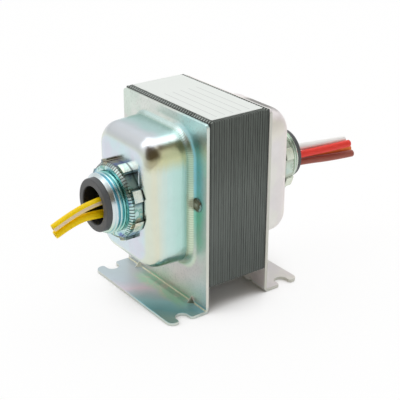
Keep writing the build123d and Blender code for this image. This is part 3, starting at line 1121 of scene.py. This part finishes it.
class TRANSFORMER_OT_core(bpy.types.Operator):
    """Stacks the E sheets and the I sheets of the core"""

    bl_idname = "transformer.core"
    bl_label = "Core"

    def execute(self, context):
        sizes = context.scene.transformer_core
        steel = core_steel(sizes)
        stack = sheet_stack()
        e_low, e_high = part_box("core_e_laminations")
        _, i_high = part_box("core_i_laminations")
        slack = sizes.shift
        joint = 0.02 * MM
        rim_ease = 0.05 * MM
        left, parting, right = e_low.x + slack, e_high.x, i_high.x - slack
        root = e_low.x + i_high.x - parting
        out = parting - joint
        pitch = (e_high.y - e_low.y) / sizes.sheets
        # the E has three legs and two windows, its middle leg twice as high as each of the rest
        sixth = (e_high.z - e_low.z) / 6
        bottom, top = e_low.z + slack, e_high.z - slack
        low_window = (e_low.z + sixth, e_low.z + 2 * sixth)
        high_window = (e_high.z - 2 * sixth, e_high.z - sixth)
        e_corners = [(left, bottom), (out, bottom)]
        for floor, roof in (low_window, high_window):
            e_corners += [(out, floor), (root, floor), (root, roof), (out, roof)]
        e_corners += [(out, top), (left, top)]
        i_corners = [(parting + joint, bottom), (right, bottom), (right, top), (parting + joint, top)]
        for number, (name, corners) in enumerate((("e", e_corners), ("i", i_corners))):
            sheet = cut_sheet(corners, pitch - sizes.gap, rim_ease)
            mesh = stack.grow(sheet, {
                "Count": sizes.sheets, "Pitch": pitch, "Shift": sizes.shift, "Seed": sizes.seed + number,
                "Material": steel,
            })
            node = f"core_{name}_laminations"
            add_piece(f"core_{name}_sheets", mesh, steel, [node])
        return {"FINISHED"}


# Hubs, label and coil


def threaded_nipple(sizes, zinc):
    """The front chase nipple with its thread cut."""
    low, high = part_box("front_hub_nipple")
    end, head_end, head = -low.y / MM, -high.y / MM, high.x / MM
    barrel, bore, bevel, chamfer = 10.65, 8.4, 1.3, 1.1
    outer_ease, inner_ease = 0.2, 0.3
    head_depth, thread_start, thread_end = 2.5, 1.6, 0.3
    row_step, segments = 0.14, 160
    seat = head_end + head_depth
    run = end - chamfer - seat
    rows = int(run / row_step)
    profile = [
        (bore, head_end), (head - outer_ease, head_end), (head, head_end + outer_ease),
        (head, seat - bevel), (head - bevel, seat), (barrel, seat),
    ]
    profile += [(barrel, seat + run * number / rows) for number in range(1, rows + 1)]
    profile += [(barrel - 0.55, end - 0.55), (barrel - 1.0, end - 0.1), (barrel - chamfer, end)]
    profile += [(bore + inner_ease, end), (bore, end - inner_ease)]
    sleeve = mesh_from(turned(profile, segments), "sleeve", smooth_angle=math.radians(40))
    return cut_thread().grow(sleeve, {
        "Pitch": sizes.pitch, "Depth": sizes.thread_depth, "Barrel": barrel * MM,
        "From": (seat + thread_start) * MM, "To": (end - thread_end) * MM, "Axis height": HUB_AXIS,
        "Material": zinc,
    })


def collar_tooth(sizes, front):
    """One serration on the bevel of the front locknut, on the +X side of a hub axis at the origin."""
    outer, inner, bevel = 13.2, 12.3, 0.9
    share_of_pitch = 0.92
    half = math.pi * (outer + inner) / 2 / sizes.teeth * share_of_pitch
    rise = sizes.tooth_height / MM / math.sqrt(2)
    back = front - bevel
    # the four corners of its foot, then the two ends of its ridge
    spots = [
        (outer - 0.12, back - 0.55, -half), (outer - 0.12, back - 0.55, half),
        (inner - 0.1, front - 0.12, half * 0.95), (inner - 0.1, front - 0.12, -half * 0.95),
        (outer + rise * 0.75, back - 0.25, 0), (inner + rise * 0.55, front + rise * 0.15, 0),
    ]
    work = bmesh.new()
    verts = [work.verts.new((r * MM, -d * MM, z * MM)) for r, d, z in spots]
    for corners in ((3, 2, 1, 0), (0, 1, 4), (1, 2, 5, 4), (2, 3, 5), (3, 0, 4, 5)):
        work.faces.new([verts[corner] for corner in corners])
    bmesh.ops.recalc_face_normals(work, faces=work.faces)
    return mesh_from(work, "tooth")


class TRANSFORMER_OT_hubs(bpy.types.Operator):
    """Finishes the threaded nipples, the serrated locknuts and the bushings"""

    bl_idname = "transformer.hubs"
    bl_label = "Conduit hubs"

    def execute(self, context):
        sizes = context.scene.transformer_hubs
        turned_zinc = nipple_zinc()
        zinc = locknut_zinc(sizes)
        plastic = bushing_plastic(sizes.bushing)
        nipple = threaded_nipple(sizes, turned_zinc)
        front = -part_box("front_locknut")[0].y / MM
        teeth = ring_of_pieces().grow(collar_tooth(sizes, front), {
            "Count": sizes.teeth, "Axis height": HUB_AXIS, "Material": zinc,
        })
        nut = joined(softened_copy("front_locknut", sizes.edge_round), teeth)
        nipples = (nipple, other_end(nipple))
        nuts = (nut, other_end(nut))
        for end, sleeve, ring in zip(("front", "rear"), nipples, nuts):
            add_piece(end + "_threaded_nipple", sleeve, turned_zinc, [end + "_hub_nipple"])
            add_piece(end + "_serrated_locknut", ring, zinc, [end + "_locknut"])
            dress(end + "_bushing", plastic)
        return {"FINISHED"}


class TRANSFORMER_OT_label(bpy.types.Operator):
    """Finishes the bare label on the core"""

    bl_idname = "transformer.label"
    bl_label = "Label"

    def execute(self, context):
        dress("rating_label", label_paper(context.scene.transformer_label))
        return {"FINISHED"}


class TRANSFORMER_OT_coil(bpy.types.Operator):
    """Finishes the spool, windings and tape inside"""

    bl_idname = "transformer.coil"
    bl_label = "Coil"

    def execute(self, context):
        dress("bobbin", bobbin_nylon())
        copper = winding_copper()
        wrap = winding_wrap()
        for half in ("primary", "secondary"):
            dress(half + "_winding", copper)
            dress(half + "_tape", wrap)
        return {"FINISHED"}


# Stage


def add_camera():
    """The camera at the viewing angle of the photograph, for a square image."""
    azimuth, elevation, roll = (math.radians(angle) for angle in (53.874, 24.089, 0.117))
    middle, aside, below, distance = Vector((0, 0, 0.045)), 0.001559, 0.012808, 0.344974
    outward = Vector((math.sin(azimuth), -math.cos(azimuth), 0))
    back = outward * math.cos(elevation) + Vector((0, 0, math.sin(elevation)))
    level = Vector((math.cos(azimuth), math.sin(azimuth), 0))
    rise = back.cross(level)
    right = level * math.cos(roll) + rise * math.sin(roll)
    up = rise * math.cos(roll) - level * math.sin(roll)
    eye = middle + right * aside - up * below + back * distance
    data = bpy.data.cameras.new("camera")
    data.sensor_fit = "HORIZONTAL"
    data.sensor_width = 36
    data.lens = 87.208
    data.clip_start = 0.01
    camera = bpy.data.objects.new("camera", data)
    turn = Matrix((right, up, back)).transposed().to_4x4()
    camera.matrix_world = Matrix.Translation(eye) @ turn
    bpy.context.collection.objects.link(camera)
    bpy.context.scene.camera = camera


def add_lamp(name, place, aim, size, power):
    """A soft square lamp that looks at a point."""
    data = bpy.data.lights.new(name, "AREA")
    data.shape = "SQUARE"
    data.size = size
    data.energy = power
    lamp = bpy.data.objects.new(name, data)
    turn = (Vector(aim) - Vector(place)).to_track_quat("-Z", "Y").to_matrix().to_4x4()
    lamp.matrix_world = Matrix.Translation(place) @ turn
    bpy.context.collection.objects.link(lamp)


def seen_directly(tree):
    """1 where a ray comes from the camera, a mirror-like surface or clear material."""
    path = tree.node("ShaderNodeLightPath")
    seen = path.output("Is Camera Ray").higher(path.output("Is Glossy Ray"))
    return seen.higher(path.output("Is Transmission Ray"))


def add_floor(look):
    """A pale floor that keeps the shadow and reads as white away from it."""
    half, shadow_reach, most_lift = 0.6, 0.03, 0.9
    corners = [(-half, -half, 0), (half, -half, 0), (half, half, 0), (-half, half, 0)]
    mesh = bpy.data.meshes.new("floor")
    mesh.from_pydata(corners, [], [(0, 1, 2, 3)])
    paint = Finish("pale_floor")
    cloth = paint.node("ShaderNodeBsdfDiffuse", None, {"Color": look.floor})
    white = paint.node("ShaderNodeEmission", None, {"Color": (1, 1, 1), "Strength": 1.0})
    open_sky = paint.node("ShaderNodeAmbientOcclusion", {"samples": 8}, {"Distance": shadow_reach}, out="AO")
    lift = most_lift * paint.between(open_sky, 0.3, 0.75) * seen_directly(paint)
    both = paint.node("ShaderNodeMixShader", None, {0: lift, 1: cloth, 2: white})
    paint.node("ShaderNodeOutputMaterial", None, {"Surface": both})
    mesh.materials.append(paint.material)
    floor = bpy.data.objects.new("floor", mesh)
    bpy.context.collection.objects.link(floor)


def set_surroundings(look):
    """A pale room, white below and overhead, with a bright window and a dim stretch that the zinc shows."""
    world = bpy.data.worlds.new("room")
    world.use_nodes = True
    world.node_tree.nodes.clear()
    tree = Tree(world.node_tree)
    across, back, height = tree.split(tree.node("ShaderNodeTexCoord", out="Generated"))
    # how far a direction leans away from the window and towards the dim stretch
    turn = 0.90 * across - 0.37 * back - 0.23 * height
    window_gain = 1.3
    window = tree.zone((back, 0.1, -0.3), (height, 0.45, 0.75), (turn, -0.1, -0.3), (across, -0.68, -0.45))
    dim = tree.zone((turn, -0.18, -0.10), (height, 0.97, 0.88), (across - 1.2 * height, 0.70, 0.40))
    dim = dim * (1 - tree.zone((turn, 0.08, 0.37), (back, -0.15, 0.5)))
    dim = dim * (1 - tree.zone((back, -0.1, -0.5), (across + 0.34 * height, 0.34, 0.10)))
    dim = dim * tree.between(back, 0.1, 0.55, 1.0, 0.85)
    above = tree.between(height, 0.06, 0.14)
    pale = above * tree.between(height, 0.58, 0.34)
    room = tree.node("ShaderNodeBackground", None, {
        "Color": tree.layered((1, 1, 1), (pale, "eff0ef"), (above * dim, "6a5e4e")),
        "Strength": look.surroundings * (1.0 + window_gain * window),
    })
    tree.node("ShaderNodeOutputWorld", None, {"Surface": room})
    bpy.context.scene.world = world


class TRANSFORMER_OT_stage(bpy.types.Operator):
    """Sets the camera, the floor, the lamp and the room"""

    bl_idname = "transformer.stage"
    bl_label = "Stage"

    def execute(self, context):
        look = context.scene.transformer_stage
        context.scene.view_settings.view_transform = "Standard"
        add_camera()
        add_floor(look)
        set_surroundings(look)
        overhead, middle = (-0.1, 0.1, 0.85), (0, 0, 0.04)
        add_lamp("top_lamp", overhead, middle, size=0.9, power=look.top)
        return {"FINISHED"}


class TRANSFORMER_PT_panel(bpy.types.Panel):
    """Shows the operators and their settings"""

    bl_idname = "TRANSFORMER_PT_panel"
    bl_label = "Transformer"
    bl_space_type = "VIEW_3D"
    bl_region_type = "UI"
    bl_category = "Transformer"

    def draw(self, context):
        layout = self.layout
        for operator in OPERATORS:
            layout.operator(operator.bl_idname)
        for name, group in GROUPS.items():
            settings = getattr(context.scene, name)
            box = layout.box()
            box.label(text=group.__doc__)
            for field in group.__annotations__:
                box.prop(settings, field)


GROUPS = {
    "transformer_leads": LeadFinish,
    "transformer_bells": BellFinish,
    "transformer_core": CoreSizes,
    "transformer_hubs": HubSizes,
    "transformer_label": LabelFinish,
    "transformer_stage": StageLight,
}

OPERATORS = (
    TRANSFORMER_OT_stage,
    TRANSFORMER_OT_leads,
    TRANSFORMER_OT_bells,
    TRANSFORMER_OT_core,
    TRANSFORMER_OT_hubs,
    TRANSFORMER_OT_label,
    TRANSFORMER_OT_coil,
)


def register():
    """Adds the settings, operators and panel."""
    for name, group in GROUPS.items():
        bpy.utils.register_class(group)
        setattr(bpy.types.Scene, name, PointerProperty(type=group))
    for each in (*OPERATORS, TRANSFORMER_PT_panel):
        bpy.utils.register_class(each)


def unregister():
    """Takes them away again."""
    for each in (TRANSFORMER_PT_panel, *reversed(OPERATORS)):
        bpy.utils.unregister_class(each)
    for name, group in GROUPS.items():
        delattr(bpy.types.Scene, name)
        bpy.utils.unregister_class(group)


def main():
    """Builds the whole scene."""
    register()
    bpy.ops.transformer.stage()
    bpy.ops.transformer.leads()
    bpy.ops.transformer.bells()
    bpy.ops.transformer.core()
    bpy.ops.transformer.hubs()
    bpy.ops.transformer.label()
    bpy.ops.transformer.coil()


if __name__ == "__main__":
    main()
